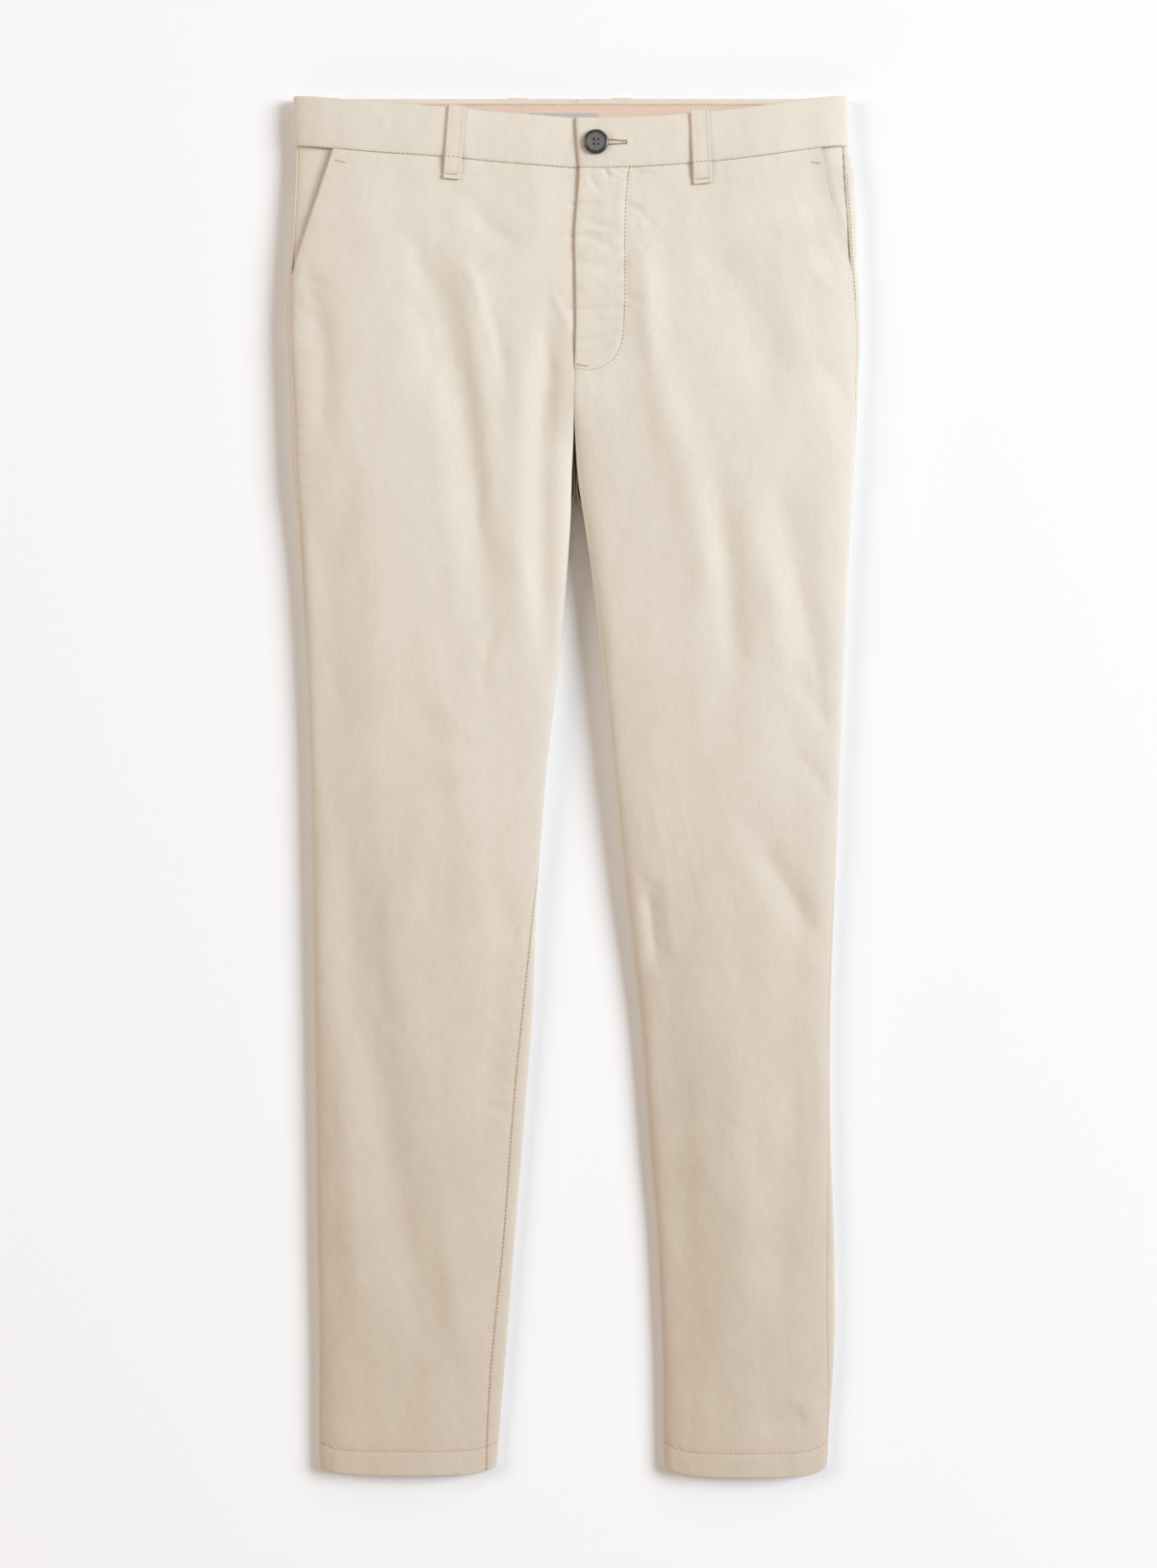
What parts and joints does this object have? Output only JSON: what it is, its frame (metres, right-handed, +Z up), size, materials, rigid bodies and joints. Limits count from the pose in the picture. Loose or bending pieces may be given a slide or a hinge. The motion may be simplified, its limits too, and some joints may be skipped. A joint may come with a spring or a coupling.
{
  "type": "chino trousers",
  "caption": "Straight-leg chino trousers laid out flat, face up: waistband, slant pockets, buttoned fly front, belt loops and turned-up hems.",
  "frame": {"origin": "on the table, under the middle of the laid-out garment", "axes": "+X towards the wearer's left, +Y from the hems to the waist, +Z up from the table"},
  "size_m": [0.442, 1.056, 0.0332],
  "materials": {
    "cream_twill": "matt washed cotton twill, stone cream",
    "peach_twill": "matt cotton twill, peach, inside of the waistband",
    "grey_tape": "matt woven tape, plain grey",
    "zip_tape": "matt woven zip tape, cream",
    "horn_resin": "semi-gloss marbled dark grey resin"
  },
  "bodies": {
    "root": {"front_right": "cream_twill", "front_left": "cream_twill", "back_right": "cream_twill", "back_left": "cream_twill", "waistband_right": "cream_twill", "waistband_left": "cream_twill", "pocket_facing_right": "cream_twill", "pocket_facing_left": "cream_twill", "waistband_facing": "peach_twill", "blank_label": "grey_tape", "fly_zip": "zip_tape", "belt_loop_front_right": "cream_twill", "belt_loop_front_left": "cream_twill", "belt_loop_back_side_right": "cream_twill", "belt_loop_back_centre_right": "cream_twill", "belt_loop_back_centre_left": "cream_twill", "belt_loop_back_side_left": "cream_twill", "waist_button": "horn_resin"}
  },
  "joints": []
}
